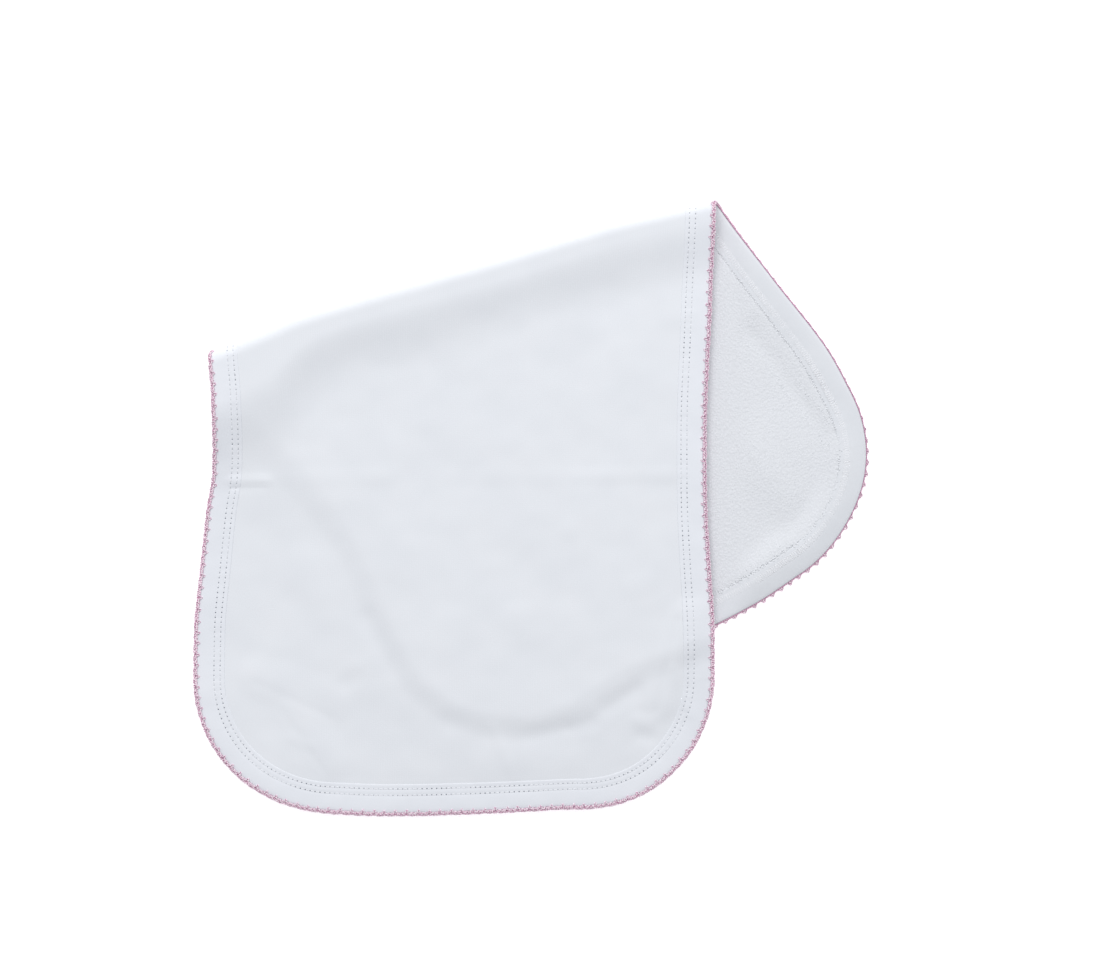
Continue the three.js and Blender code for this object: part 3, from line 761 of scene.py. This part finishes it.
# Of each strand through one scallop: scallops along, distance out from the cut edge, height to the knit side
INNER_CHAIN = np.array([
    (0.0, -0.1, 1.0), (0.17, -0.5, 1.15), (0.33, 0.1, 1.3), (0.5, -0.45, 1.1), (0.67, 0.15, 1.3),
    (0.83, -0.4, 1.15)])
OUTER_CHAIN = np.array([
    (0.0, 0.3, 0.8), (0.17, 0.65, 1.05), (0.33, 0.2, 0.9), (0.5, 0.7, 1.05), (0.67, 0.3, 0.9),
    (0.83, 0.6, 1.0)])
BACK_CHAIN = np.array([
    (0.0, 0.35, -0.4), (0.25, 0.6, -0.55), (0.5, 0.3, -0.45), (0.75, 0.55, -0.55)])
SHELL = np.array([
    (0.0, 0.9, 0.6), (0.15, 1.05, 0.75), (0.3, 1.2, 0.7), (0.45, 1.28, 0.55), (0.6, 1.24, 0.55),
    (0.75, 1.12, 0.7), (0.9, 0.96, 0.65)])
UNDER_SHELL = np.array([
    (0.0, 0.3, 0.3), (0.2, 0.5, 0.1), (0.4, 1.0, 0.0), (0.55, 1.15, 0.0), (0.7, 0.8, 0.1),
    (0.85, 0.4, 0.2)])
HOOK = np.array([
    (0.0, -1.7, 0.98), (0.06, -1.25, 1.35), (0.14, -0.2, 1.5), (0.3, 0.5, 1.25), (0.5, -0.35, 1.35),
    (0.7, 0.6, 1.2), (0.86, -0.2, 1.5), (0.94, -1.25, 1.35)])
LACE = np.array([
    (0.0, 1.3, 0.85), (0.12, 0.4, 1.3), (0.2, -0.3, 1.35), (0.32, 0.5, 1.3), (0.42, 1.45, 0.8),
    (0.52, 0.5, 1.3), (0.62, -0.35, 1.35), (0.72, 0.4, 1.3), (0.82, 1.35, 0.85), (0.92, 0.6, 1.15)])
# The far end, from this v on and over this length, is worked tighter to the edge by this share
FAR_FROM, FAR_OVER, TIGHTER = 40.0, 60.0, 0.5
# There each scallop also has a bump of thread: how far out and over what part of the scallop, below which y
# it is whole, over what length it fades above that, and what share is left of it
BUMP, BUMP_HALF, BUMP_FULL, BUMP_OVER, BUMP_LEAST = 1.2, 0.3, 10.0, 50.0, 0.12
# Each scallop's reach is drawn between these shares, its lean within this part of a scallop either way, and
# each point's height with this spread
LEAST_REACH, MOST_REACH, LEAN, UNEVEN = 0.86, 1.14, 0.08, 0.04
# A strand's thickness swells and thins by this share, at this many radians a scallop
SWELL, SWELL_PACE = 0.12, 14.3
# Strand, its start, its radius, and its share of the bump
FOUNDATION = ((OUTER_CHAIN, 0.42, 0.3, 0.0), (BACK_CHAIN, 0.0, 0.28, 0.0))
CORDS = ((INNER_CHAIN, 0.12, 0.25, 0.0), (SHELL, 0.0, 0.29, 0.8), (UNDER_SHELL, 0.03, 0.31, 1.0))
CATCHES = ((HOOK, 0.0, 0.25, 0.0), (LACE, 0.0, 0.2, 0.8))


def crochet_strand(table, start, radius, bumps, samples, draw):
    """One strand all round: its table's repeat, with each scallop's reach and lean drawn on their own, held
    tight and bumped out at the far end, and its thickness a sine."""
    turns = np.arange(SCALLOPS * samples) / samples
    each = np.arange(SCALLOPS + 1) % SCALLOPS
    reach = np.interp(turns, np.arange(SCALLOPS + 1), draw.uniform(LEAST_REACH, MOST_REACH, SCALLOPS)[each])
    lean = np.interp(turns, np.arange(SCALLOPS + 1), draw.uniform(-LEAN, LEAN, SCALLOPS)[each])
    out = round_and_round(table, 1, turns + start) * reach
    edge = edge_point(turns * PERIMETER / SCALLOPS, 0)
    far = smooth((edge[:, 1] - FAR_FROM) / FAR_OVER)
    low = BUMP_LEAST + (1 - BUMP_LEAST) * smooth((BUMP_FULL + BUMP_OVER - middle(edge)[:, 1]) / BUMP_OVER)
    bump = BUMP * bumps * far * low * reach * bell((turns % 1 - 0.5) / BUMP_HALF)
    out = out * (1 - TIGHTER * far) + bump
    height = round_and_round(table, 2, turns + start) + draw.normal(0, UNEVEN, len(turns))
    thickness = radius * (1 + SWELL * np.sin(turns * SWELL_PACE + 5 * start))
    flat = edge_point((turns + lean) * PERIMETER / SCALLOPS, -out)
    return closed_thread(flat, height, thickness, sides=5)


crochet_draw = np.random.default_rng(5)


def crocheted(name, strands, samples, cotton):
    """Strands of one kind as one piece, so many points a scallop. The draws go on from piece to piece."""
    threads = [crochet_strand(*strand, samples, crochet_draw) for strand in strands]
    return make_piece(name, *bundle(threads), "pink_thread", cotton)


pink_cotton = spun_thread("pink_crochet_cotton", "#FFF2F9", "#D294B6", twist=1.1)
# Painted shade: the foundation's cotton is a darker copy of the pink, for the shade it lies in along the fold
shaded_pink_cotton = spun_thread("pink_cotton_painted_shade", "#DFACC8", "#A0708A", twist=0.9)
foundation = crocheted("crochet_foundation", FOUNDATION, samples=10, cotton=shaded_pink_cotton)
edging = crocheted("crochet_edging", CORDS, samples=14, cotton=pink_cotton)
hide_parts("crochet_trim")
catches = crocheted("crochet_catches", CATCHES, samples=26, cotton=pink_cotton)

# Floor, light and camera
# A plain white surface, one large soft lamp from beyond the fold and a bright room round it, seen from above.

floor_mesh = bpy.data.meshes.new("floor")
floor_mesh.from_pydata([(-3, -3, 0), (3, -3, 0), (3, 3, 0), (-3, 3, 0)], [], [(0, 1, 2, 3)])
floor = bpy.data.objects.new("floor", floor_mesh)
bpy.context.scene.collection.objects.link(floor)
floor_paint, _, floor_shader = new_material("white_paper")
floor_shader.inputs["Base Color"].default_value = linear("#FAFAFA")
floor_shader.inputs["Roughness"].default_value = 0.9
floor_shader.inputs["Emission Color"].default_value = (1, 1, 1, 1)
floor_shader.inputs["Emission Strength"].default_value = 0.5
floor_mesh.materials.append(floor_paint)

world = bpy.data.worlds.new("room")
world.use_nodes = True
world.node_tree.nodes["Background"].inputs["Color"].default_value = linear("#F6F8FC")
world.node_tree.nodes["Background"].inputs["Strength"].default_value = 0.54
bpy.context.scene.world = world

lamp_data = bpy.data.lights.new("soft_lamp", "AREA")
lamp_data.shape = "RECTANGLE"
lamp_data.size, lamp_data.size_y = 3.0, 2.0
lamp_data.energy = 63
lamp = bpy.data.objects.new("soft_lamp", lamp_data)
lamp.location = (-0.05, 1.9, 2.2)
lamp.rotation_euler = (-lamp.location).to_track_quat("-Z", "Y").to_euler()
bpy.context.scene.collection.objects.link(lamp)

# The photograph's frame at the floor, in metres: its width and its middle
FRAME_WIDTH = 0.5414
VIEW_CENTRE = (0.00935, 0.00984)
CAMERA_HEIGHT = 2.0
camera_data = bpy.data.cameras.new("camera")
camera_data.sensor_width = 36
camera_data.lens = camera_data.sensor_width * CAMERA_HEIGHT / FRAME_WIDTH
camera = bpy.data.objects.new("camera", camera_data)
camera.location = (*VIEW_CENTRE, CAMERA_HEIGHT)
bpy.context.scene.collection.objects.link(camera)
bpy.context.scene.camera = camera
bpy.context.scene.view_settings.view_transform = "Standard"
